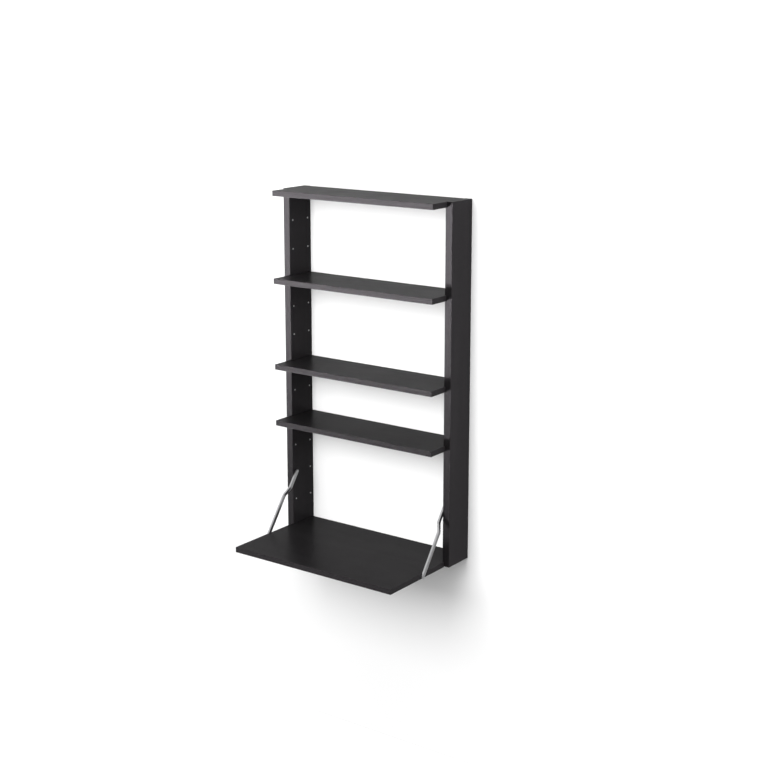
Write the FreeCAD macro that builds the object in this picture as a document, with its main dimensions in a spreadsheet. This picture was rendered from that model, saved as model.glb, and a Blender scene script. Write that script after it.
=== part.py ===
import FreeCAD, Part
import math
import os
import re

import Sketcher

# Open wall shelf with a desk board, carried by two drilled uprights.
# X runs along the wall, Y points into the wall and Z points up, in millimetres. The wall is the plane Y = 0.
# The origin lies on the wall, midway between the round entries of the two keyhole hangers.

# Driving dimensions
SIZES = {
    # Uprights and their rows of holes
    "unit_width": 666,
    "upright_thickness": 25,
    "upright_depth": 110,
    "first_row_height": 6.5,
    "row_pitch": 96,
    "column_margin": 16.5,
    "hole_diameter": 6,
    "hole_depth": 13,
    "arris": 0.8,
    # Shelves and desk board
    "board_thickness": 18,
    "board_back_gap": 5,
    "wing_overlap": 6.5,
    "shelf_reach": 78,
    "desk_reach": 290.5,
    # Fits
    "fit_clearance": 0.05,
    "end_clearance": 1,
    "shelf_side_gap": 0.5,
    "shelf_front_gap": 0.3,
    "groove_clearance": 0.1,
    # Pins, dowels and plugs
    "pin_reach": 8,
    "dowel_in_board": 20,
    "plug_proud": 1,
    # Stays
    "stay_width": 12,
    "stay_thickness": 6,
    "stay_reach": 122,
    "stay_end_margin": 8,
    "stay_head_rim": 2,
    "stay_blank_margin": 2,
    "stay_bend_radius": 6,
    "joggle_length": 31,
    "joggle_to_upright": 30,
    "insert_wall": 1,
    # Wall hangers
    "hanger_drop": 75,
    "hanger_width": 16,
    "hanger_length": 60,
    "hanger_thickness": 2,
    "hanger_recess_gap": 0.2,
    "hanger_screw_diameter": 3,
    "hanger_screw_head": 6,
    "hanger_screw_length": 12,
    "keyhole_entry": 10,
    "keyhole_slot": 5,
    "keyhole_rise": 14,
    "wall_screw_room": 1,
    "wall_screw_depth": 10,
}

# Row of holes that each board and the stays use, counted from the foot of the uprights
ROWS = {"desk_top": 1, "stay": 3, "lower_shelf": 5, "middle_shelf": 7, "upper_shelf": 10, "top_shelf": 13}
LOOSE_SHELVES = ("lower_shelf", "middle_shelf", "upper_shelf")
COLUMNS = ("front_column", "back_column")

# Sizes that follow from the ones above
DERIVED = {
    "inner_half": "unit_width / 2 - upright_thickness",
    "board_half": "inner_half + wing_overlap",
    "rows_length": f"{ROWS['top_shelf'] - 1} * row_pitch",
    "upright_height": "first_row_height + rows_length + board_thickness / 2",
    "foot": "hanger_drop - upright_height",
    "front_column": "upright_depth - column_margin",
    "back_column": "column_margin",
    "peg_diameter": "hole_diameter - 2 * fit_clearance",
    "peg_seat": "hole_depth - end_clearance",
    "groove_height": "peg_diameter + 2 * groove_clearance",
    "groove_depth": "pin_reach - shelf_side_gap + end_clearance",
    "groove_stop": "front_column + hole_diameter / 2 + end_clearance",
    "stay_foot": "upright_depth + stay_reach",
    "stay_run": "stay_foot - front_column",
    "stay_rise": f"{ROWS['stay'] - ROWS['desk_top']} * row_pitch",
    "stay_span": "sqrt(stay_run ^ 2 + stay_rise ^ 2)",
    "stay_screw_diameter": "hole_diameter - 2 * insert_wall",
    "stay_screw_head": "stay_width - 2 * stay_head_rim",
    "insert_length": "peg_seat - end_clearance",
    "stay_screw_length": "stay_thickness + insert_length - 2 * end_clearance",
    "joggle_end": "stay_span * stay_reach / stay_run - joggle_to_upright",
    "joggle_start": "joggle_end - joggle_length",
    "joggle_shift": "wing_overlap + stay_thickness",
    "joggle_miter": "stay_thickness / 2 * tan(atan(joggle_shift / joggle_length) / 2)",
    "hanger_middle": "keyhole_rise / 2 + (keyhole_slot - keyhole_entry) / 4",
    "hanger_radius": "hanger_width / 2",
    "hanger_arm": "hanger_length / 2 - hanger_radius",
}

SIDES = {-1: "left", 1: "right"}
ALONG_X = {side: FreeCAD.Rotation(FreeCAD.Vector(0, side, 0), 90) for side in SIDES}
AWAY_FROM_WALL = FreeCAD.Rotation(FreeCAD.Vector(1, 0, 0), 90)
COUNTERSINK_ANGLE = 90
TINY = 1e-4

doc = FreeCAD.newDocument("wall_shelf_with_desk")
sheet = doc.addObject("Spreadsheet::Sheet", "sizes")
nodes = []


def fill_sheet():
    for line, (name, size) in enumerate(SIZES.items(), start=1):
        sheet.set(f"A{line}", name)
        sheet.set(f"B{line}", str(size))
        sheet.setAlias(f"B{line}", name)
    doc.recompute()


# Formulas

def formula(text):
    """Spell a formula out in the cells of the sheet."""
    def spell(match):
        word = match.group(0)
        if word in DERIVED:
            return f"({formula(DERIVED[word])})"
        return f"sizes.{word}" if word in SIZES else word
    return re.sub(r"[a-z][a-z_]*", spell, text)


def value(text):
    return float(sheet.evalExpression(formula(text)))


def bind(item, formulas):
    for name, text in formulas.items():
        item.setExpression(name, formula(text))


def place(item, x="0", y="0", z="0"):
    bind(item, {"Placement.Base.x": x, "Placement.Base.y": y, "Placement.Base.z": z})


def row_height(row):
    """Height of a row's hole centres above the origin."""
    return f"(foot + first_row_height + {row - 1} * row_pitch)"


# Sketches

def sketch_on(body, plane, name, offset="0"):
    sketch = body.newObject("Sketcher::SketchObject", name)
    support = next(item for item in body.Origin.OriginFeatures if item.Role == plane)
    sketch.AttachmentSupport = [(support, "")]
    sketch.MapMode = "FlatFace"
    bind(sketch, {"AttachmentOffset.Base.z": offset})
    return sketch


def constrain(sketch, kind, *references, size):
    number = sketch.addConstraint(Sketcher.Constraint(kind, *references, value(size)))
    bind(sketch, {f"Constraints[{number}]": size})


def fix_point(sketch, geometry, point, x, y):
    for kind, size, axis in (("DistanceX", x, -2), ("DistanceY", y, -1)):
        if size == "0":
            sketch.addConstraint(Sketcher.Constraint("PointOnObject", geometry, point, axis))
        else:
            constrain(sketch, kind, -1, 1, geometry, point, size=size)


def outline(sketch, corners):
    points = [FreeCAD.Vector(value(x), value(y), 0) for x, y in corners]
    ends = points[1:] + points[:1]
    lines = [sketch.addGeometry(Part.LineSegment(*pair)) for pair in zip(points, ends)]
    for line, following, (x, y) in zip(lines, lines[1:] + lines[:1], corners):
        sketch.addConstraint(Sketcher.Constraint("Coincident", line, 2, following, 1))
        fix_point(sketch, line, 1, x, y)


def rectangle(sketch, left, bottom, right, top):
    outline(sketch, [(left, bottom), (right, bottom), (right, top), (left, top)])


def circle(sketch, x, y, diameter):
    centre = FreeCAD.Vector(value(x), value(y), 0)
    ring = sketch.addGeometry(Part.Circle(centre, FreeCAD.Vector(0, 0, 1), value(diameter) / 2))
    fix_point(sketch, ring, 3, x, y)
    constrain(sketch, "Diameter", ring, size=diameter)


def obround(sketch, x, bottom, top, radius):
    """Upright slot with round ends whose centres lie at the heights bottom and top."""
    middle, reach, upward = value(x), value(radius), FreeCAD.Vector(0, 0, 1)
    low, high = (FreeCAD.Vector(middle, value(level), 0) for level in (bottom, top))
    aside = FreeCAD.Vector(reach, 0, 0)
    upper = sketch.addGeometry(Part.ArcOfCircle(Part.Circle(high, upward, reach), 0, math.pi))
    left = sketch.addGeometry(Part.LineSegment(high - aside, low - aside))
    lower = sketch.addGeometry(Part.ArcOfCircle(Part.Circle(low, upward, reach), math.pi, 2 * math.pi))
    right = sketch.addGeometry(Part.LineSegment(low + aside, high + aside))
    loop = [upper, left, lower, right]
    for piece, following in zip(loop, loop[1:] + loop[:1]):
        sketch.addConstraint(Sketcher.Constraint("Tangent", piece, 2, following, 1))
    sketch.addConstraint(Sketcher.Constraint("Equal", upper, lower))
    fix_point(sketch, upper, 3, x, top)
    fix_point(sketch, lower, 3, x, bottom)
    constrain(sketch, "Radius", upper, size=radius)


# Features

def new_body(name):
    body = doc.addObject("PartDesign::Body", name)
    nodes.append(body)
    return body


def pad(body, sketch, length, reverse=False, symmetric=False):
    feature = body.newObject("PartDesign::Pad", f"{sketch.Name}_pad")
    feature.Profile = sketch
    feature.Reversed = reverse
    feature.SideType = "Symmetric" if symmetric else "One side"
    bind(feature, {"Length": length})
    doc.recompute()


def take_away(body, feature, volume_before):
    doc.recompute()
    if body.Shape.Volume > volume_before - TINY:
        raise RuntimeError(f"{body.Label}: {feature.Label} cuts nothing")
    return feature


def pocket(body, sketch, depth, reverse=False):
    volume = body.Shape.Volume
    feature = body.newObject("PartDesign::Pocket", f"{sketch.Name}_pocket")
    feature.Profile = sketch
    feature.Reversed = reverse
    bind(feature, {"Length": depth})
    return take_away(body, feature, volume)


def cut_through(body, sketch):
    volume = body.Shape.Volume
    feature = body.newObject("PartDesign::Pocket", f"{sketch.Name}_cut")
    feature.Profile = sketch
    feature.SideType = "Symmetric"
    feature.Type = "ThroughAll"
    return take_away(body, feature, volume)


def countersunk_hole(body, sketch, diameter, head, reverse):
    volume = body.Shape.Volume
    feature = body.newObject("PartDesign::Hole", f"{sketch.Name}_hole")
    feature.Profile = sketch
    feature.ThreadType = "None"
    feature.HoleCutType = "Countersink"
    feature.HoleCutCustomValues = True
    feature.HoleCutCountersinkAngle = COUNTERSINK_ANGLE
    feature.DepthType = "ThroughAll"
    feature.Reversed = reverse
    bind(feature, {"Diameter": f"{diameter} + 2 * fit_clearance", "HoleCutDiameter": head})
    return take_away(body, feature, volume)


def dress_edges(body, kind, size_name, size, chosen):
    base = body.Tip
    edges = [f"Edge{number}" for number, edge in enumerate(base.Shape.Edges, start=1) if chosen(edge)]
    feature = body.newObject(f"PartDesign::{kind}", f"{body.Name}_{kind.lower()}")
    feature.Base = (base, edges)
    bind(feature, {size_name: size})
    doc.recompute()


# Turned pieces

def peg(name, x, y, z, side, diameter, length):
    """Round peg along X that starts at x and points to the given side."""
    item = doc.addObject("Part::Cylinder", name)
    bind(item, {"Radius": f"({diameter}) / 2", "Height": length})
    item.Placement = FreeCAD.Placement(FreeCAD.Vector(), ALONG_X[side])
    place(item, x, y, z)
    return item


def countersunk_screw(name, diameter, head, length):
    """Screw that starts at the top of its head and points along its own Z axis."""
    cone = doc.addObject("Part::Cone", f"{name}_head")
    bind(cone, {"Radius1": f"{head} / 2 - fit_clearance", "Radius2": f"{diameter} / 2",
                "Height": f"({head} - {diameter}) / 2 - fit_clearance"})
    shank = doc.addObject("Part::Cylinder", f"{name}_shank")
    bind(shank, {"Radius": f"{diameter} / 2", "Height": length})
    screw = doc.addObject("Part::Fuse", name)
    screw.Base = cone
    screw.Tool = shank
    screw.Refine = True
    return screw


def group(name, items):
    holder = doc.addObject("Part::Compound", name)
    holder.Links = items
    nodes.append(holder)


# Uprights

def make_upright(side):
    body = new_body(f"{SIDES[side]}_upright")
    plank = sketch_on(body, "YZ_Plane", "plank")
    rectangle(plank, "-upright_depth", "0", "0", "upright_height")
    pad(body, plank, "upright_thickness", reverse=side < 0)
    dress_edges(body, "Chamfer", "Size", "arris", lambda edge: True)
    drill_rows(body, side)
    sink_hanger(body, side)
    place(body, x=f"{side} * inner_half", z="foot")


def drill_rows(body, side):
    """Two columns of blind holes in the inner face, at an even pitch."""
    first_row = sketch_on(body, "YZ_Plane", "first_row")
    for column in COLUMNS:
        circle(first_row, f"-({column})", "first_row_height", "hole_diameter")
    holes = pocket(body, first_row, "hole_depth", reverse=side > 0)
    pattern = body.newObject("PartDesign::LinearPattern", "rows")
    pattern.Originals = [holes]
    pattern.Direction = (first_row, ["V_Axis"])
    pattern.Occurrences = ROWS["top_shelf"]
    bind(pattern, {"Length": "rows_length"})
    body.Tip = pattern
    doc.recompute()


def sink_hanger(body, side):
    """Seat for the keyhole plate in the back edge, with room for the wall screw's head and pilot holes."""
    middle = f"{side} * upright_thickness / 2"
    entry = "upright_height - hanger_drop"
    seat = sketch_on(body, "XZ_Plane", "hanger_seat")
    obround(seat, middle, f"{entry} + hanger_middle - hanger_arm", f"{entry} + hanger_middle + hanger_arm",
            "hanger_radius + hanger_recess_gap")
    pocket(body, seat, "hanger_thickness", reverse=True)
    room = sketch_on(body, "XZ_Plane", "wall_screw_room")
    obround(room, middle, entry, f"{entry} + keyhole_rise", "keyhole_entry / 2 + wall_screw_room")
    pocket(body, room, "hanger_thickness + wall_screw_depth", reverse=True)
    pilots = sketch_on(body, "XZ_Plane", "pilot_holes")
    for end in (-1, 1):
        circle(pilots, middle, f"{entry} + hanger_middle + {end} * hanger_arm",
               "hanger_screw_diameter + 2 * fit_clearance")
    pocket(body, pilots, "hanger_screw_length + end_clearance", reverse=True)


# Boards

def make_board(name, reach, neck_half, wing_back):
    """T-shaped board: a neck between the uprights, and wings that lap over their front edges."""
    body = new_body(name)
    plan = sketch_on(body, "XY_Plane", "plan")
    front = f"-(upright_depth + {reach})"
    right_half = [("board_half", front), ("board_half", f"-({wing_back})"), (neck_half, f"-({wing_back})"),
                  (neck_half, "-board_back_gap")]
    left_half = [(f"-({x})", y) for x, y in reversed(right_half)]
    outline(plan, right_half + left_half)
    pad(body, plan, "board_thickness")
    notch = value(neck_half)
    notch_back = -value(wing_back)

    def outside_notch(edge):
        middle = edge.CenterOfMass
        in_notch = abs(abs(middle.x) - notch) < TINY and abs(middle.y - notch_back) < TINY
        return not (in_notch and edge.BoundBox.ZLength > TINY)

    dress_edges(body, "Chamfer", "Size", "arris", outside_notch)
    place(body, z=f"{row_height(ROWS[name])} - board_thickness / 2")
    return body


def drill_side_edges(body, name, half_width, distances, depth):
    """Holes along X in both side edges, at mid-thickness and at the given distances from the wall."""
    for side, word in SIDES.items():
        holes = sketch_on(body, "YZ_Plane", f"{word}_{name}", f"{side} * ({half_width})")
        for distance in distances:
            circle(holes, f"-({distance})", "board_thickness / 2", "hole_diameter")
        pocket(body, holes, depth, reverse=side < 0)


def board_pegs(name, kind, reach):
    """Pegs that stand in the board's row of holes and reach inwards from the uprights."""
    pegs = []
    for side, word in SIDES.items():
        tip = f"{side} * (inner_half - {reach})"
        for column in COLUMNS:
            pegs.append(peg(f"{name}_{word}_{column}_{kind}", tip, f"-({column})", row_height(ROWS[name]),
                            side, "peg_diameter", f"{reach} + peg_seat"))
    group(f"{name}_{kind}s", pegs)


def make_fixed_board(name, reach):
    """Board that ties the uprights together: it meets them face to face, on dowels."""
    body = make_board(name, reach, "inner_half", "upright_depth")
    drill_side_edges(body, "dowel_holes", "inner_half", COLUMNS, "dowel_in_board + end_clearance")
    board_pegs(name, "dowel", "dowel_in_board")
    return body


def make_loose_shelf(name):
    """Shelf that slides back over its pins: stopped grooves in its side edges are open at the wall."""
    neck_half = "inner_half - shelf_side_gap"
    body = make_board(name, "shelf_reach", neck_half, "upright_depth + shelf_front_gap")
    grooves = sketch_on(body, "XY_Plane", "grooves", "(board_thickness - groove_height) / 2")
    for side in SIDES:
        bottom = f"{side} * ({neck_half} - groove_depth)"
        rectangle(grooves, bottom, "-(groove_stop)", f"{side} * inner_half", "0")
    pocket(body, grooves, "groove_height", reverse=True)
    board_pegs(name, "pin", "pin_reach")


def make_desk():
    body = make_fixed_board("desk_top", "desk_reach")
    drill_side_edges(body, "insert_holes", "board_half", ("stay_foot",), "hole_depth")


# Hole plugs

def make_plugs(side):
    """Plugs that stand a little proud in the spare holes of one upright."""
    word = SIDES[side]
    taken = {(row, column) for name, row in ROWS.items() if name != "stay" for column in COLUMNS}
    taken.add((ROWS["stay"], "front_column"))
    tip = f"{side} * (inner_half - plug_proud)"
    plugs = []
    for row in range(1, ROWS["top_shelf"] + 1):
        for column in COLUMNS:
            if (row, column) not in taken:
                plugs.append(peg(f"{word}_{column}_plug_{row}", tip, f"-({column})", row_height(row),
                                 side, "peg_diameter", "peg_seat + plug_proud"))
    group(f"{word}_hole_plugs", plugs)


# Stays

def make_stay(side):
    """Flat bar with one sideways joggle, from the upright's inner face to the desk's side edge."""
    word = SIDES[side]
    body = new_body(f"{word}_stay")
    low, high = "-(stay_end_margin + stay_blank_margin)", "stay_span + stay_end_margin + stay_blank_margin"
    corners = [("board_half", low), ("board_half", "joggle_start - joggle_miter"),
               ("inner_half - stay_thickness", "joggle_end - joggle_miter"),
               ("inner_half - stay_thickness", high), ("inner_half", high),
               ("inner_half", "joggle_end + joggle_miter"),
               ("board_half + stay_thickness", "joggle_start + joggle_miter"),
               ("board_half + stay_thickness", low)]
    profile = sketch_on(body, "XZ_Plane", "joggle")
    outline(profile, [(f"{side} * ({x})", y) for x, y in corners])
    pad(body, profile, "stay_width + 2 * stay_blank_margin", symmetric=True)
    inside_bends = (corners[1], corners[5])
    outside_bends = (corners[2], corners[6])
    for bends, radius in ((inside_bends, "stay_bend_radius"),
                          (outside_bends, "stay_bend_radius + stay_thickness")):
        places = [(side * value(x), value(y)) for x, y in bends]
        dress_edges(body, "Fillet", "Radius", radius, lambda edge: runs_across(edge, places))
    round_ends(body)
    for name, face, height, heading in (("upper", "inner_half - stay_thickness", "stay_span", side),
                                        ("lower", "board_half + stay_thickness", "0", -side)):
        mark = sketch_on(body, "YZ_Plane", f"{name}_screw", f"{side} * ({face})")
        circle(mark, "0", height, "stay_screw_diameter")
        countersunk_hole(body, mark, "stay_screw_diameter", "stay_screw_head", reverse=heading > 0)
    body.Placement = FreeCAD.Placement(FreeCAD.Vector(), FreeCAD.Rotation(FreeCAD.Vector(-1, 0, 0), 1))
    bind(body, {"Placement.Rotation.Angle": "atan(stay_run / stay_rise)"})
    place(body, y="-(stay_foot)", z=row_height(ROWS["desk_top"]))


def runs_across(edge, places):
    middle = edge.CenterOfMass
    return any(abs(middle.x - x) + abs(middle.z - z) < TINY for x, z in places)


def round_ends(body):
    """Trim the blank to the bar's width, with full round ends."""
    trim = sketch_on(body, "YZ_Plane", "round_ends")
    edge = "stay_width / 2 + 2 * stay_blank_margin"
    reach = "stay_end_margin + 2 * stay_blank_margin"
    rectangle(trim, f"-({edge})", f"-({reach})", edge, f"stay_span + {reach}")
    obround(trim, "0", "stay_width / 2 - stay_end_margin", "stay_span + stay_end_margin - stay_width / 2",
            "stay_width / 2")
    cut_through(body, trim)


def make_stay_fasteners(side):
    """Threaded inserts in the upright and in the desk's edge, and the countersunk screws in them."""
    word = SIDES[side]
    ends = (("upper", "inner_half", "front_column", ROWS["stay"], side),
            ("lower", "board_half", "stay_foot", ROWS["desk_top"], -side))
    inserts, screws = [], []
    for name, face, distance, row, heading in ends:
        where = (f"{side} * ({face})", f"-({distance})", row_height(row))
        tube = peg(f"{word}_{name}_insert_body", *where, heading, "peg_diameter", "insert_length")
        bore = peg(f"{word}_{name}_insert_bore", *where, heading, "stay_screw_diameter + 2 * fit_clearance",
                   "insert_length")
        insert = doc.addObject("Part::Cut", f"{word}_{name}_insert")
        insert.Base = tube
        insert.Tool = bore
        inserts.append(insert)
        screw = countersunk_screw(f"{word}_{name}_screw", "stay_screw_diameter", "stay_screw_head",
                                  "stay_screw_length")
        screw.Placement = FreeCAD.Placement(FreeCAD.Vector(), ALONG_X[heading])
        place(screw, f"{side} * ({face}) - {heading} * stay_thickness", *where[1:])
        screws.append(screw)
    group(f"{word}_stay_inserts", inserts)
    group(f"{word}_stay_screws", screws)


# Wall hangers

def make_hanger(side):
    """Keyhole plate: the wall screw's head enters the round hole and slides up into the slot."""
    word = SIDES[side]
    middle = f"{side} * (inner_half + upright_thickness / 2)"
    body = new_body(f"{word}_hanger")
    plate = sketch_on(body, "XZ_Plane", "plate")
    obround(plate, "0", "hanger_middle - hanger_arm", "hanger_middle + hanger_arm", "hanger_radius")
    pad(body, plate, "hanger_thickness")
    entry = sketch_on(body, "XZ_Plane", "keyhole_entry")
    circle(entry, "0", "0", "keyhole_entry")
    cut_through(body, entry)
    slot = sketch_on(body, "XZ_Plane", "keyhole_slot")
    obround(slot, "0", "0", "keyhole_rise", "keyhole_slot / 2")
    cut_through(body, slot)
    screws = []
    for name, end in (("lower", -1), ("upper", 1)):
        height = f"hanger_middle + {end} * hanger_arm"
        mark = sketch_on(body, "XZ_Plane", f"{name}_screw")
        circle(mark, "0", height, "hanger_screw_diameter")
        countersunk_hole(body, mark, "hanger_screw_diameter", "hanger_screw_head", reverse=True)
        screw = countersunk_screw(f"{word}_{name}_hanger_screw", "hanger_screw_diameter", "hanger_screw_head",
                                  "hanger_screw_length")
        screw.Placement = FreeCAD.Placement(FreeCAD.Vector(), AWAY_FROM_WALL)
        place(screw, x=middle, z=height)
        screws.append(screw)
    place(body, x=middle)
    group(f"{word}_hanger_screws", screws)


# Checks and files

def check_document():
    doc.recompute()
    for item in doc.Objects:
        if "Invalid" in item.State or "Error" in item.State:
            raise RuntimeError(f"{item.Label} failed: {item.State}")
    for node in nodes:
        if node.Shape.isNull() or not node.Shape.isValid():
            raise RuntimeError(f"{node.Label} has no valid shape")


def write_nodes():
    os.makedirs("parts", exist_ok=True)
    for node in nodes:
        node.Shape.exportStep(f"parts/{node.Label}.step")
        print(f"{node.Label}: {len(node.Shape.Solids)} solids, {node.Shape.Volume / 1000:.1f} cm3")


fill_sheet()
for upright_side in SIDES:
    make_upright(upright_side)
make_fixed_board("top_shelf", "shelf_reach")
for shelf_name in LOOSE_SHELVES:
    make_loose_shelf(shelf_name)
make_desk()
for fitting_side in SIDES:
    make_plugs(fitting_side)
    make_stay(fitting_side)
    make_stay_fasteners(fitting_side)
    make_hanger(fitting_side)
check_document()
write_nodes()
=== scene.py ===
import bpy
import bmesh
import math
from mathutils import Matrix, Vector


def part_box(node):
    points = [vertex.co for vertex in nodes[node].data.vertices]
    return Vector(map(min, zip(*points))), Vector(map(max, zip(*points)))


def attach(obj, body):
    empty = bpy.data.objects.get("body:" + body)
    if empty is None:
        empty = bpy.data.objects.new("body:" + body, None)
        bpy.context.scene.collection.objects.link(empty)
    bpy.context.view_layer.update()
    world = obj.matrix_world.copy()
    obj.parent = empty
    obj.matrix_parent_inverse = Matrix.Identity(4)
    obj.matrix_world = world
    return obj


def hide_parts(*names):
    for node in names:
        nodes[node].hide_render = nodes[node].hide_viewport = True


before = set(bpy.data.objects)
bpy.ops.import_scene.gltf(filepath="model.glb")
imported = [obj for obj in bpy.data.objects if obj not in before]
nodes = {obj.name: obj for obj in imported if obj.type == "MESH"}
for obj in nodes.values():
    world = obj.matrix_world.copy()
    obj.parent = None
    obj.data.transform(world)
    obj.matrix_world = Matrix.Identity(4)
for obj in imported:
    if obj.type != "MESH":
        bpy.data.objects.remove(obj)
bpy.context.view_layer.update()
scene = bpy.context.scene
scene.view_settings.view_transform = "Standard"
print("frame loaded:", len(nodes), "nodes")

# sides as seen from the room: the sign is the side's direction on X
sides = {"left": -1, "right": 1}


# node helpers

def feed(tree, socket, source):
    # a link where the source is another node's socket, and a plain value otherwise
    if isinstance(source, bpy.types.NodeSocket):
        tree.links.new(source, socket)
    else:
        socket.default_value = source


def addNode(tree, kind, inputs=None, **settings):
    node = tree.nodes.new(kind)
    for key, setting in settings.items():
        setattr(node, key, setting)
    for key, source in (inputs or {}).items():
        feed(tree, node.inputs[key], source)
    return node


def calc(tree, operation, *values):
    return addNode(tree, "ShaderNodeMath", dict(enumerate(values)), operation=operation).outputs[0]


def vectorCalc(tree, operation, *values):
    return addNode(tree, "ShaderNodeVectorMath", dict(enumerate(values)), operation=operation).outputs[0]


def weigh(tree, first, firstShare, second, secondShare):
    # two values added up by their shares
    return calc(tree, "MULTIPLY_ADD", first, firstShare, calc(tree, "MULTIPLY", second, secondShare))


def remap(tree, source, fromLow, fromHigh, toLow=0.0, toHigh=1.0, smooth=True):
    node = addNode(tree, "ShaderNodeMapRange", {"Value": source, "From Min": fromLow, "From Max": fromHigh,
                                                "To Min": toLow, "To Max": toHigh})
    node.interpolation_type = "SMOOTHSTEP" if smooth else "LINEAR"
    return node.outputs[0]


def blendColour(tree, factor, first, second):
    node = addNode(tree, "ShaderNodeMix", data_type="RGBA")
    for key, source in (("Factor_Float", factor), ("A_Color", first), ("B_Color", second)):
        feed(tree, next(s for s in node.inputs if s.identifier == key), source)
    return next(s for s in node.outputs if s.identifier == "Result_Color")


def noise(tree, vector, scale, detail, rough):
    stretched = addNode(tree, "ShaderNodeMapping", {"Vector": vector, "Scale": scale}).outputs[0]
    return addNode(tree, "ShaderNodeTexNoise", {"Vector": stretched, "Scale": 1.0, "Detail": detail,
                                                "Roughness": rough}).outputs[0]


def newGroup(name, outputs, more=None):
    # every group takes a place on the piece, and more names the kinds of any further inputs
    tree = bpy.data.node_groups.new(name, "ShaderNodeTree")
    for key, kind in {"Vector": "Vector", **(more or {})}.items():
        tree.interface.new_socket(key, in_out="INPUT", socket_type="NodeSocket" + kind)
    for key in outputs:
        tree.interface.new_socket(key, in_out="OUTPUT", socket_type="NodeSocketFloat")
    return tree, tree.nodes.new("NodeGroupInput").outputs, tree.nodes.new("NodeGroupOutput").inputs


def putOut(tree, out, **sources):
    for key, source in sources.items():
        tree.links.new(source, out[key])
    return tree


def useGroup(tree, group, inputs):
    return addNode(tree, "ShaderNodeGroup", inputs, node_tree=group).outputs


# shared effects: each is one node group that the finishes draw on
# their noises are given by stretch, detail and roughness

grainLook = {
    "wander": ((1.3, 9.0, 9.0), 2.0, 0.5), "drift": (0.0, 0.022, 0.022),
    "ringScale": 34.0, "ringBend": 2.2, "ringDetail": 2.0, "ringDetailScale": 1.5, "ringShare": 0.42,
    "streak": ((4.0, 210.0, 210.0), 3.0, 0.6), "streakShare": 0.58,
    "fibre": ((24.0, 1500.0, 1500.0), 2.0, 0.55), "fibreHeight": 0.5,
    "pores": ((110.0, 2600.0, 2600.0), 1.0, 0.4), "poreFrom": 0.60, "poreTo": 0.70, "poreDepth": 0.8,
}


def grainGroup():
    # wood that grows along X: rings round a far heart, fibre streaks and short open pores
    tree, given, out = newGroup("woodGrain", ("Figure", "Fibre", "Pore", "Height"))
    place = given["Vector"]
    drift = vectorCalc(tree, "MULTIPLY", noise(tree, place, *grainLook["wander"]), grainLook["drift"])
    rings = addNode(tree, "ShaderNodeTexWave", {
        "Vector": vectorCalc(tree, "ADD", place, drift),
        "Scale": grainLook["ringScale"],
        "Distortion": grainLook["ringBend"],
        "Detail": grainLook["ringDetail"],
        "Detail Scale": grainLook["ringDetailScale"],
    }, wave_type="RINGS", rings_direction="X").outputs["Fac"]
    streak = noise(tree, place, *grainLook["streak"])
    fibre = noise(tree, place, *grainLook["fibre"])
    pore = remap(tree, noise(tree, place, *grainLook["pores"]), grainLook["poreFrom"], grainLook["poreTo"])
    figure = weigh(tree, streak, grainLook["streakShare"], rings, grainLook["ringShare"])
    height = weigh(tree, fibre, grainLook["fibreHeight"], pore, -grainLook["poreDepth"])
    return putOut(tree, out, Figure=figure, Fibre=fibre, Pore=pore, Height=height)


arrisRubAndHighlightLook = {"patches": ((30.0, 30.0, 30.0), 3.0, 0.65), "patchFrom": 0.35, "patchTo": 0.7,
             "leastWidth": 0.25, "fullRub": 0.2}


def arrisRubAndHighlightGroup():
    # how near a point is to an edge of its board's box, within a ragged width: the mask of the lighter
    # edges, partly rubbed stain and partly painted edge highlight
    sizes = {"Centre": "Vector", "Half Size": "Vector", "Width": "Float"}
    tree, given, out = newGroup("arrisRub", ("Rub",), sizes)
    fromCentre = vectorCalc(tree, "ABSOLUTE", vectorCalc(tree, "SUBTRACT", given["Vector"], given["Centre"]))
    inset = vectorCalc(tree, "SUBTRACT", given["Half Size"], fromCentre)
    insetX, insetY, insetZ = addNode(tree, "ShaderNodeSeparateXYZ", {0: inset}).outputs
    # the middle one of the three distances is the distance to the nearest edge
    low = calc(tree, "MINIMUM", insetX, insetY)
    high = calc(tree, "MINIMUM", calc(tree, "MAXIMUM", insetX, insetY), insetZ)
    toEdge = calc(tree, "MAXIMUM", low, high)
    patches = noise(tree, given["Vector"], *arrisRubAndHighlightLook["patches"])
    ragged = remap(tree, patches, arrisRubAndHighlightLook["patchFrom"], arrisRubAndHighlightLook["patchTo"], arrisRubAndHighlightLook["leastWidth"])
    near = calc(tree, "DIVIDE", toEdge, calc(tree, "MULTIPLY", ragged, given["Width"]))
    return putOut(tree, out, Rub=remap(tree, near, arrisRubAndHighlightLook["fullRub"], 1.0, 1.0, 0.0))


handlingLook = {"clouds": ((7.0, 9.0, 7.0), 4.0, 0.55), "cloudFrom": 0.3, "cloudTo": 0.72}


def handlingGroup():
    # soft clouds from wiping and handling
    tree, given, out = newGroup("handling", ("Cloud",))
    clouds = noise(tree, given["Vector"], *handlingLook["clouds"])
    return putOut(tree, out, Cloud=remap(tree, clouds, handlingLook["cloudFrom"], handlingLook["cloudTo"]))


brushedLook = {"coarse": ((1300.0, 1300.0, 9.0), 2.0, 0.6), "coarseShare": 0.6,
               "fine": ((5200.0, 5200.0, 30.0), 1.0, 0.5), "fineShare": 0.4,
               "heightFrom": 0.3, "heightTo": 0.7}


def brushedGroup():
    # fine drawn lines along Z, as on cold-drawn bar
    tree, given, out = newGroup("brushedLines", ("Line", "Height"))
    coarse = noise(tree, given["Vector"], *brushedLook["coarse"])
    fine = noise(tree, given["Vector"], *brushedLook["fine"])
    line = weigh(tree, coarse, brushedLook["coarseShare"], fine, brushedLook["fineShare"])
    height = remap(tree, line, brushedLook["heightFrom"], brushedLook["heightTo"])
    return putOut(tree, out, Line=line, Height=height)


spangleLook = {"cellScale": 620.0, "grit": ((2400.0, 2400.0, 2400.0), 2.0, 0.5)}


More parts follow.
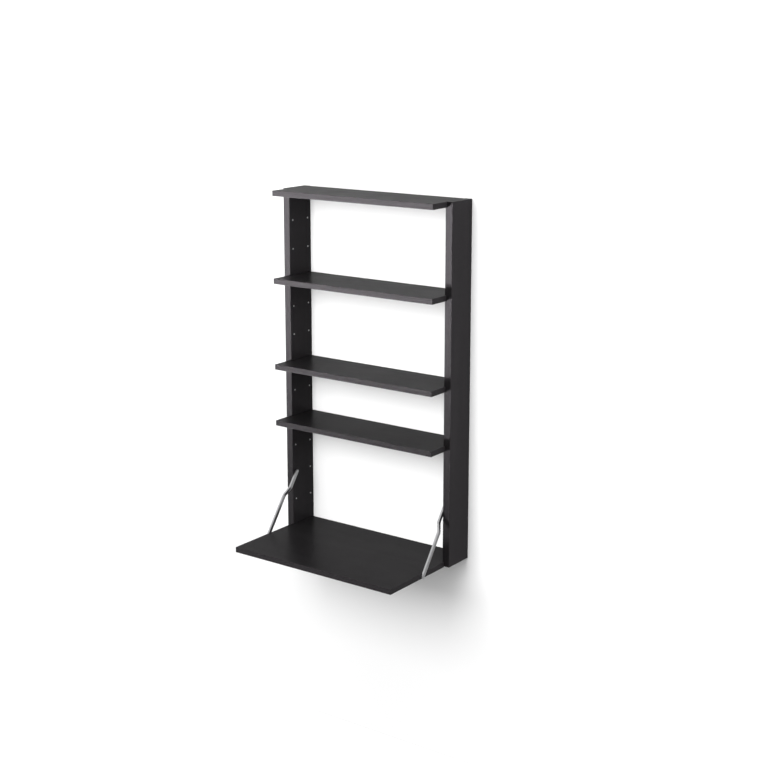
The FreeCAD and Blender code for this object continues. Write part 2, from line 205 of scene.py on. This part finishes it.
def spangleGroup():
    # small crystal patches of a zinc plating
    tree, given, out = newGroup("platingSpangle", ("Patch", "Grit"))
    cells = addNode(tree, "ShaderNodeTexVoronoi", {
        "Vector": given["Vector"],
        "Scale": spangleLook["cellScale"],
    }, feature="F1")
    shade = addNode(tree, "ShaderNodeSeparateColor", {0: cells.outputs["Color"]}).outputs[0]
    return putOut(tree, out, Patch=shade, Grit=noise(tree, given["Vector"], *spangleLook["grit"]))


woodGrain, arrisRub, handling = grainGroup(), arrisRubAndHighlightGroup(), handlingGroup()
brushedLines, platingSpangle = brushedGroup(), spangleGroup()
print("shared finishes made")


# finishes

def newMaterial(name):
    material = bpy.data.materials.new(name)
    material.use_nodes = True
    tree = material.node_tree
    shader = tree.nodes["Principled BSDF"]
    place = tree.nodes.new("ShaderNodeTexCoord").outputs["Object"]
    return material, tree, shader, place


def setSurface(tree, shader, colour, rough, height, look):
    bump = addNode(tree, "ShaderNodeBump", {"Height": height, "Distance": look["bumpDepth"],
                                            "Strength": look["bumpStrength"]})
    tree.links.new(colour, shader.inputs["Base Color"])
    tree.links.new(rough, shader.inputs["Roughness"])
    tree.links.new(bump.outputs[0], shader.inputs["Normal"])


stain = {
    "deep": (0.0466, 0.0436, 0.0466, 1), "pale": (0.0521, 0.0489, 0.0521, 1),
    "fibreTone": 0.3, "figureTone": 0.7, "toneFrom": 0.28, "toneTo": 0.72,
    "poreColour": (0.018, 0.016, 0.018, 1), "poreAmount": 0.7,
    # the lighter edge colour is partly rubbed stain and partly a painted edge highlight
    "rubAndHighlightColour": (0.13, 0.122, 0.126, 1), "rubAndHighlightWidth": 0.0022, "rubAndHighlightAmount": 0.45,
    "cloudGloss": 0.6, "fibreGloss": 0.4, "glossFrom": 0.1, "glossTo": 0.9,
    "roughLow": 0.28, "roughHigh": 0.35, "specular": 0.1, "sheenTint": (1.0, 0.92, 1.0, 1),
    "bumpDepth": 0.0001, "bumpStrength": 0.2,
    "heart": (0.4, 0.055, -0.21),  # the trunk's heart lies this far from the first board
    "boardStep": (0.73, 0.031, 0.043),  # each board is cut from another place
}


def stainedWood(name, number, upright):
    material, tree, shader, place = newMaterial("stainedWood_" + name)
    low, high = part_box(name)
    turn = (0, math.radians(90), 0) if upright else (0, 0, 0)
    shift = [heart + number * step for heart, step in zip(stain["heart"], stain["boardStep"])]
    along = addNode(tree, "ShaderNodeMapping", {"Vector": place, "Location": shift, "Rotation": turn})
    grain = useGroup(tree, woodGrain, {"Vector": along.outputs[0]})
    rubAndHighlight = useGroup(tree, arrisRub, {
        "Vector": place,
        "Centre": (low + high) / 2,
        "Half Size": (high - low) / 2,
        "Width": stain["rubAndHighlightWidth"],
    })["Rub"]
    cloud = useGroup(tree, handling, {"Vector": place})["Cloud"]
    tone = weigh(tree, grain["Fibre"], stain["fibreTone"], grain["Figure"], stain["figureTone"])
    shade = remap(tree, tone, stain["toneFrom"], stain["toneTo"])
    colour = blendColour(tree, shade, stain["deep"], stain["pale"])
    pores = calc(tree, "MULTIPLY", grain["Pore"], stain["poreAmount"])
    colour = blendColour(tree, pores, colour, stain["poreColour"])
    # lighter edges: partly rubbed stain, partly a painted edge highlight
    edgeRubAndHighlightShare = calc(tree, "MULTIPLY", rubAndHighlight, stain["rubAndHighlightAmount"])
    colour = blendColour(tree, edgeRubAndHighlightShare, colour, stain["rubAndHighlightColour"])
    soft = weigh(tree, cloud, stain["cloudGloss"], grain["Fibre"], stain["fibreGloss"])
    rough = remap(tree, soft, stain["glossFrom"], stain["glossTo"], stain["roughLow"], stain["roughHigh"],
                  smooth=False)
    shader.inputs["Specular IOR Level"].default_value = stain["specular"]
    shader.inputs["Specular Tint"].default_value = stain["sheenTint"]
    setSurface(tree, shader, colour, rough, grain["Height"], stain)
    return material


beech = {"deep": (0.46, 0.31, 0.17, 1), "pale": (0.66, 0.50, 0.31, 1), "fleck": (0.33, 0.20, 0.10, 1),
         "fibreFrom": 0.2, "fibreTo": 0.8, "roughLow": 0.55, "roughHigh": 0.75,
         "bumpDepth": 0.0002, "bumpStrength": 0.3}


def beechWood():
    material, tree, shader, place = newMaterial("beechDowel")
    grain = useGroup(tree, woodGrain, {"Vector": place})
    colour = blendColour(tree, grain["Figure"], beech["deep"], beech["pale"])
    colour = blendColour(tree, grain["Pore"], colour, beech["fleck"])
    rough = remap(tree, grain["Fibre"], beech["fibreFrom"], beech["fibreTo"],
                  beech["roughLow"], beech["roughHigh"])
    setSurface(tree, shader, colour, rough, grain["Height"], beech)
    return material


satin = {"bar": ((0.55, 0.55, 0.56, 1), (0.78, 0.78, 0.79, 1)),
         "cap": ((0.60, 0.60, 0.61, 1), (0.84, 0.84, 0.85, 1)),
         "cloudGloss": 0.5, "lineGloss": 0.5, "glossFrom": 0.15, "glossTo": 0.85,
         "roughLow": 0.24, "roughHigh": 0.40, "bumpDepth": 0.00004, "bumpStrength": 0.25}


def satinSteel(name, tones, leanAngle):
    # the lean turns the drawn lines from Z to the direction of the bar
    material, tree, shader, place = newMaterial(name)
    along = addNode(tree, "ShaderNodeMapping", {"Vector": place, "Rotation": (leanAngle, 0, 0)}).outputs[0]
    lines = useGroup(tree, brushedLines, {"Vector": along})
    cloud = useGroup(tree, handling, {"Vector": place})["Cloud"]
    colour = blendColour(tree, lines["Line"], *tones)
    soft = weigh(tree, cloud, satin["cloudGloss"], lines["Line"], satin["lineGloss"])
    rough = remap(tree, soft, satin["glossFrom"], satin["glossTo"], satin["roughLow"], satin["roughHigh"],
                  smooth=False)
    shader.inputs["Metallic"].default_value = 1.0
    setSurface(tree, shader, colour, rough, lines["Height"], satin)
    return material


zinc = {"dull": (0.46, 0.48, 0.51, 1), "bright": (0.68, 0.70, 0.72, 1), "cloudTone": 0.4, "patchTone": 0.6,
        "gritFrom": 0.3, "gritTo": 0.7, "roughLow": 0.28, "roughHigh": 0.46,
        "bumpDepth": 0.00005, "bumpStrength": 0.2}


def zincPlate():
    material, tree, shader, place = newMaterial("zincPlating")
    crystals = useGroup(tree, platingSpangle, {"Vector": place})
    cloud = useGroup(tree, handling, {"Vector": place})["Cloud"]
    shade = weigh(tree, cloud, zinc["cloudTone"], crystals["Patch"], zinc["patchTone"])
    colour = blendColour(tree, shade, zinc["dull"], zinc["bright"])
    rough = remap(tree, crystals["Grit"], zinc["gritFrom"], zinc["gritTo"],
                  zinc["roughLow"], zinc["roughHigh"])
    shader.inputs["Metallic"].default_value = 1.0
    setSurface(tree, shader, colour, rough, crystals["Grit"], zinc)
    return material


# the stays' screws: centres in y and z, and the faces in x that their heads lie in
stay = {"upperScrew": (-0.0935, -0.894), "lowerScrew": (-0.232, -1.086),
        "upperFace": 0.302, "lowerFace": 0.3205, "ease": 0.00035}
stayRun = [upper - lower for upper, lower in zip(stay["upperScrew"], stay["lowerScrew"])]
stayLean = math.atan2(stayRun[0], stayRun[1])

barSteel = satinSteel("satinSteelBar", satin["bar"], stayLean)
capSteel = satinSteel("satinSteelCap", satin["cap"], 0.0)
zincPlating = zincPlate()
dowelWood = beechWood()

woodenBoards = ("left_upright", "right_upright", "top_shelf", "upper_shelf", "middle_shelf", "lower_shelf",
                "desk_top")


def finishFor(name):
    if name.endswith("_dowels"):
        return dowelWood
    if name.endswith("_stay"):
        return barSteel
    if name.endswith("_plugs") or name.endswith("_stay_screws"):
        return capSteel
    return zincPlating


for number, name in enumerate(woodenBoards):
    nodes[name].material_slots[0].material = stainedWood(name, number, name.endswith("_upright"))
for name in nodes:
    if name not in woodenBoards:
        nodes[name].material_slots[0].material = finishFor(name)
print("finishes given to the frame")


# pieces: angles in degrees

meshing = {"merge": 1e-6, "smoothBelow": 35, "flatBelow": 1, "easeAbove": 50,
           "easeSteps": 2, "roundSteps": 24}


def finishPiece(name, bm, material, replaced):
    bmesh.ops.remove_doubles(bm, verts=bm.verts, dist=meshing["merge"])
    bmesh.ops.recalc_face_normals(bm, faces=bm.faces)
    for face in bm.faces:
        face.smooth = True
    smoothBelow = math.radians(meshing["smoothBelow"])
    for edge in bm.edges:
        edge.smooth = len(edge.link_faces) == 2 and edge.calc_face_angle() < smoothBelow
    mesh = bpy.data.meshes.new(name)
    bm.to_mesh(mesh)
    bm.free()
    mesh.materials.append(material)
    piece = bpy.data.objects.new(name, mesh)
    scene.collection.objects.link(piece)
    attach(piece, "frame")
    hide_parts(replaced)


def addTo(bm, made, place, direction):
    # puts a finished shape into its group, with its own Z turned to the direction
    turn = Vector(direction).to_track_quat("Z", "Y").to_matrix().to_4x4()
    bmesh.ops.transform(made, matrix=Matrix.Translation(place) @ turn, verts=made.verts)
    mesh = bpy.data.meshes.new("shape")
    made.to_mesh(mesh)
    made.free()
    bm.from_mesh(mesh)
    bpy.data.meshes.remove(mesh)


def addTurned(bm, profile, place, direction):
    # a profile of (height, radius) turned round its own Z
    made = bmesh.new()
    verts = [made.verts.new((radius, 0, height)) for height, radius in profile]
    edges = [made.edges.new(pair) for pair in zip(verts, verts[1:])]
    bmesh.ops.spin(made, geom=verts + edges, axis=(0, 0, 1), cent=(0, 0, 0), steps=meshing["roundSteps"],
                   angle=math.tau, use_merge=True)
    addTo(bm, made, place, direction)


def drawOut(bm, edges, height, scale=1.0):
    # a ring of edges pulled along Z to a new height and size
    made = bmesh.ops.extrude_edge_only(bm, edges=edges)["geom"]
    for vert in made:
        if isinstance(vert, bmesh.types.BMVert):
            vert.co = (vert.co.x * scale, vert.co.y * scale, height)
    return [edge for edge in made if isinstance(edge, bmesh.types.BMEdge)]


def crossOutline(bm, arm, half):
    # a cross recess from four turned copies of one arm's corners
    corners = []
    for turn in range(4):
        angle = turn * math.pi / 2
        cosine, sine = round(math.cos(angle)), round(math.sin(angle))
        corners += [(x * cosine - y * sine, x * sine + y * cosine)
                    for x, y in ((arm, -half), (arm, half), (half, half))]
    verts = [bm.verts.new((x, y, 0)) for x, y in corners]
    for pair in zip(verts, verts[1:] + verts[:1]):
        bm.edges.new(pair)
    bmesh.ops.subdivide_edges(bm, edges=bm.edges, cuts=1)


def addScrew(bm, screw, place, direction):
    # countersunk screw with its head flush at Z 0; the recess outline has as many points as the round rim
    made = bmesh.new()
    if screw["recess"] == "hex":
        bmesh.ops.create_circle(made, cap_ends=False, segments=6, radius=screw["recessSize"])
        bmesh.ops.subdivide_edges(made, edges=made.edges, cuts=3)
    else:
        crossOutline(made, screw["recessSize"], screw["recessSize"] * screw["armShare"])
    recessEdges = list(made.edges)
    rim = bmesh.ops.create_circle(made, cap_ends=False, segments=meshing["roundSteps"], radius=screw["head"])
    rimEdges = list({edge for vert in rim["verts"] for edge in vert.link_edges})
    bmesh.ops.bridge_loops(made, edges=rimEdges + recessEdges)
    bottom = drawOut(made, recessEdges, -screw["recessDepth"], screw["recessTaper"])
    bmesh.ops.edgeloop_fill(made, edges=bottom)
    neck = drawOut(made, rimEdges, screw["shank"] - screw["head"], screw["shank"] / screw["head"])
    tip = drawOut(made, neck, -screw["length"])
    bmesh.ops.edgeloop_fill(made, edges=tip)
    addTo(bm, made, place, direction)


def addEased(name, node, material, ease):
    # the node's own shape with its sharp edges slightly rounded
    bm = bmesh.new()
    bm.from_mesh(nodes[node].data)
    bmesh.ops.remove_doubles(bm, verts=bm.verts, dist=meshing["merge"])
    flatBelow = math.radians(meshing["flatBelow"])
    bmesh.ops.dissolve_limit(bm, angle_limit=flatBelow, verts=bm.verts, edges=bm.edges)
    easeAbove = math.radians(meshing["easeAbove"])
    sharp = [edge for edge in bm.edges if len(edge.link_faces) == 2 and edge.calc_face_angle() > easeAbove]
    bmesh.ops.bevel(bm, geom=sharp, offset=ease, offset_type="OFFSET", affect="EDGES",
                    segments=meshing["easeSteps"], profile=0.5, material=-1, clamp_overlap=True)
    finishPiece(name, bm, material, node)


# rows of holes in the uprights, counted from the foot
rows = {"first": -1.086, "pitch": 0.096, "innerFace": 0.308, "columns": (-0.0935, -0.0165)}


def addAtHole(bm, profile, sign, column, row):
    # a turned fitting in one hole of an upright's inner face
    height = rows["first"] + (row - 1) * rows["pitch"]
    addTurned(bm, profile, (sign * rows["innerFace"], column, height), (-sign, 0, 0))


# bright domed plugs in the holes that nothing else uses: row 3 has one at the back, behind the stay
# the dome is given by shares of the plug's height and radius
plug = {"rows": (2, 3, 4, 6, 8, 9, 11, 12), "backOnly": 3, "radius": 0.00295, "proud": 0.001, "depth": 0.006,
        "dome": ((0.25, 1.0), (0.6, 0.93), (0.86, 0.70), (0.97, 0.36), (1.0, 0.0))}
plugProfile = [(-plug["depth"], 0), (-plug["depth"], plug["radius"])]
plugProfile += [(plug["proud"] * up, plug["radius"] * out) for up, out in plug["dome"]]
for side, sign in sides.items():
    bm = bmesh.new()
    for row in plug["rows"]:
        for column in rows["columns"][1:] if row == plug["backOnly"] else rows["columns"]:
            addAtHole(bm, plugProfile, sign, column, row)
    finishPiece(side + "_plug_caps", bm, capSteel, side + "_hole_plugs")
print("plugs made")

# shelf pins: plain zinc pins with a rounded tip, which the shelves' grooves run over
pin = {"rows": {"upper_shelf": 10, "middle_shelf": 7, "lower_shelf": 5}, "radius": 0.00295, "reach": 0.008,
       "depth": 0.012, "round": 0.0008, "bend": 0.3}
pinBend = pin["round"] * pin["bend"]
pinProfile = [(-pin["depth"], 0), (-pin["depth"], pin["radius"]),
              (pin["reach"] - pin["round"], pin["radius"]),
              (pin["reach"] - pinBend, pin["radius"] - pinBend),
              (pin["reach"], pin["radius"] - pin["round"]), (pin["reach"], 0)]
for shelf, row in pin["rows"].items():
    bm = bmesh.new()
    for sign in sides.values():
        for column in rows["columns"]:
            addAtHole(bm, pinProfile, sign, column, row)
    finishPiece(shelf + "_rest_pins", bm, zincPlating, shelf + "_pins")
print("pins made")

# stays with eased edges, and their socket screws: the upper head looks inwards, the lower one outwards
stayScrew = {"head": 0.00392, "shank": 0.002, "length": 0.015, "recess": "hex", "recessSize": 0.00144,
             "recessDepth": 0.0015, "recessTaper": 1.0}
for side, sign in sides.items():
    addEased(side + "_stay_bar", side + "_stay", barSteel, stay["ease"])
    bm = bmesh.new()
    addScrew(bm, stayScrew, (sign * stay["upperFace"], *stay["upperScrew"]), (-sign, 0, 0))
    addScrew(bm, stayScrew, (sign * stay["lowerFace"], *stay["lowerScrew"]), (sign, 0, 0))
    finishPiece(side + "_stay_socket_screws", bm, capSteel, side + "_stay_screws")
print("stays made")

# keyhole plates on the back edges, with cross-head screws
hanger = {"ease": 0.00025, "centre": 0.3205, "screwHeights": (-0.01625, 0.02775)}
hangerScrew = {"head": 0.0029, "shank": 0.0015, "length": 0.012, "recess": "cross", "recessSize": 0.0016,
               "armShare": 0.28, "recessDepth": 0.0012, "recessTaper": 0.55}
for side, sign in sides.items():
    addEased(side + "_keyhole_plate", side + "_hanger", zincPlating, hanger["ease"])
    bm = bmesh.new()
    for height in hanger["screwHeights"]:
        addScrew(bm, hangerScrew, (sign * hanger["centre"], 0, height), (0, 1, 0))
    finishPiece(side + "_hanger_cross_screws", bm, zincPlating, side + "_hanger_screws")
print("hangers made")


# stage: a white wall behind the unit, and a pale floor well below it

stage = {
    "wallGap": 0.0008, "halfWidth": 9.0, "ceiling": 5.0, "floorHeight": -1.82, "floorFront": -9.0,
    "wallColour": (0.80, 0.80, 0.80, 1), "floorColour": (0.72, 0.72, 0.72, 1),
    "bounceColour": (0.22, 0.22, 0.22, 1), "wallGlow": 0.06, "floorGlow": 0.62, "mirrorGlow": 0.08,
    "unitCentre": (0, 0, -0.5), "glowNear": 0.95, "glowFar": 2.4, "glowMore": 0.3,
    "touch": 0.004,  # the wall is clear to rays shorter than this
}


def stagePlane(name, corners, material):
    bm = bmesh.new()
    bm.faces.new([bm.verts.new(corner) for corner in corners])
    mesh = bpy.data.meshes.new(name)
    bm.to_mesh(mesh)
    bm.free()
    mesh.materials.append(material)
    plane = bpy.data.objects.new(name, mesh)
    scene.collection.objects.link(plane)
    return plane


def seenRays(tree):
    # all kinds of rays, and those that show the stage in a mirror or through glass
    path = tree.nodes.new("ShaderNodeLightPath").outputs
    return path, calc(tree, "MAXIMUM", path["Is Glossy Ray"], path["Is Transmission Ray"])


def stageMaterial(name, colour, glow, lettingLight):
    material = bpy.data.materials.new(name)
    material.use_nodes = True
    tree = material.node_tree
    tree.nodes.clear()
    path, mirrored = seenRays(tree)
    # the paint throws little light back, so that the unit keeps its own shading
    thrown = calc(tree, "MAXIMUM", path["Is Diffuse Ray"], mirrored)
    paint = blendColour(tree, thrown, colour, stage["bounceColour"])
    matt = addNode(tree, "ShaderNodeBsdfDiffuse", {"Color": paint}).outputs[0]
    # away from the unit the backdrop glows more, where the lamps reach it less
    place = tree.nodes.new("ShaderNodeTexCoord").outputs["Object"]
    away = addNode(tree, "ShaderNodeVectorMath", {0: place, 1: stage["unitCentre"]}, operation="DISTANCE")
    white = remap(tree, away.outputs["Value"], stage["glowNear"], stage["glowFar"],
                  glow, glow + stage["glowMore"])
    direct = calc(tree, "MULTIPLY", path["Is Camera Ray"], white)
    strength = calc(tree, "MULTIPLY_ADD", mirrored, stage["mirrorGlow"], direct)
    light = addNode(tree, "ShaderNodeEmission", {"Strength": strength}).outputs[0]
    surface = addNode(tree, "ShaderNodeAddShader", {0: matt, 1: light}).outputs[0]
    # clear from its back, for views from behind and from below
    seeThrough = tree.nodes.new("ShaderNodeNewGeometry").outputs["Backfacing"]
    if lettingLight:
        # lamps shine through it, and what leaves the unit's own back passes it, or that would be dark
        touching = calc(tree, "LESS_THAN", path["Ray Length"], stage["touch"])
        passing = calc(tree, "MAXIMUM", touching, path["Is Shadow Ray"])
        seeThrough = calc(tree, "MAXIMUM", seeThrough, passing)
    clear = tree.nodes.new("ShaderNodeBsdfTransparent").outputs[0]
    surface = addNode(tree, "ShaderNodeMixShader", {0: seeThrough, 1: surface, 2: clear}).outputs[0]
    addNode(tree, "ShaderNodeOutputMaterial", {"Surface": surface})
    return material


wide, top, low, front = stage["halfWidth"], stage["ceiling"], stage["floorHeight"], stage["floorFront"]
gap = stage["wallGap"]
wallPaint = stageMaterial("wallPaint", stage["wallColour"], stage["wallGlow"], True)
floorPaint = stageMaterial("floorPaint", stage["floorColour"], stage["floorGlow"], False)
wallCorners = [(-wide, gap, low), (wide, gap, low), (wide, gap, top), (-wide, gap, top)]
floorCorners = [(-wide, front, low), (wide, front, low), (wide, -front, low), (-wide, -front, low)]
wall = stagePlane("wall", wallCorners, wallPaint)
floor = stagePlane("floor", floorCorners, floorPaint)

studio = {"ambient": 0.23, "seen": 0.77, "mirrored": 0.5}  # the last two are added to the first
world = bpy.data.worlds.new("studio")
scene.world = world
world.use_nodes = True
worldTree = world.node_tree
worldTree.nodes.clear()
path, mirrored = seenRays(worldTree)
soft = calc(worldTree, "MULTIPLY_ADD", mirrored, studio["mirrored"], studio["ambient"])
strength = calc(worldTree, "MULTIPLY_ADD", path["Is Camera Ray"], studio["seen"], soft)
sky = addNode(worldTree, "ShaderNodeBackground", {"Color": (1, 1, 1, 1), "Strength": strength})
addNode(worldTree, "ShaderNodeOutputWorld", {"Surface": sky.outputs[0]})

lamps = {
    "key": {"place": (-2.05, -3.0, -1.5), "aim": (0.02, -0.1, 0.26), "size": 2.4, "height": 1.1, "power": 57,
            "spread": 35},
    "low": {"place": (-1.5, -2.6, -1.6), "aim": (0.0, -0.3, -1.12), "size": 1.3, "height": 0.3, "power": 1.0,
            "spread": 22},
    "overhead": {"place": (0.0, -0.25, 1.3), "aim": (0.0, -0.1, 0.0), "size": 0.7, "power": 0.6,
                 "spread": 120},
    "fill": {"place": (3.2, -0.3, 0.1), "aim": (0.3, -0.1, -0.1), "size": 0.9, "power": 10, "spread": 120},
    "back": {"place": (-1.3, 3.0, -1.25), "aim": (0.0, 0.0, -0.4), "size": 0.9, "power": 60, "spread": 180},
    "backdrop": {"place": (0.0, -2.4, 0.3), "aim": (0.0, 0.0, 0.3), "size": 1.5, "power": 66, "spread": 180},
}


def addLamp(name, light, place, direction, onStage):
    # a lamp lights either the stage alone or everything but the stage
    holder = bpy.data.objects.new(name, light)
    holder.location = place
    holder.rotation_mode = "QUATERNION"
    holder.rotation_quaternion = Vector(direction).to_track_quat("-Z", "Y")
    holder.visible_camera = False
    holder.visible_glossy = False  # a lamp would show as a burnt patch in the boards' sheen
    scene.collection.objects.link(holder)
    lit = bpy.data.collections.new(name + "Receivers")
    holder.light_linking.receiver_collection = lit
    for plane in (wall, floor):
        lit.objects.link(plane)
    for entry in lit.collection_objects:
        entry.light_linking.link_state = "INCLUDE" if onStage else "EXCLUDE"


for name, lamp in lamps.items():
    light = bpy.data.lights.new(name, "AREA")
    light.shape = "RECTANGLE"
    light.size = lamp["size"]
    light.size_y = lamp.get("height", lamp["size"])
    light.energy = lamp["power"]
    light.spread = math.radians(lamp["spread"])
    addLamp(name, light, lamp["place"], Vector(lamp["aim"]) - Vector(lamp["place"]), name == "backdrop")

# an even wash that whitens the backdrop and keeps the unit's shadow on it
wash = {"strength": 2.6, "softness": 100, "place": (0, 0, 3), "direction": (0.04, 1.0, -0.8)}
light = bpy.data.lights.new("wash", "SUN")
light.energy = wash["strength"]
light.angle = math.radians(wash["softness"])
addLamp("wash", light, wash["place"], wash["direction"], True)
print("stage and lamps set")

# camera at the photograph's angle
view = {"place": (2.7647, -3.7805, 0.5913), "look": (-0.57725, 0.78827, -0.21310),
        "lens": 68.503, "sensor": 36.0, "rise": -0.05}
camera = bpy.data.cameras.new("photoView")
camera.sensor_width = view["sensor"]
camera.lens = view["lens"]
camera.shift_y = view["rise"]
cameraHolder = bpy.data.objects.new("photoView", camera)
cameraHolder.location = view["place"]
cameraHolder.rotation_mode = "QUATERNION"
cameraHolder.rotation_quaternion = Vector(view["look"]).to_track_quat("-Z", "Y")
scene.collection.objects.link(cameraHolder)
scene.camera = cameraHolder
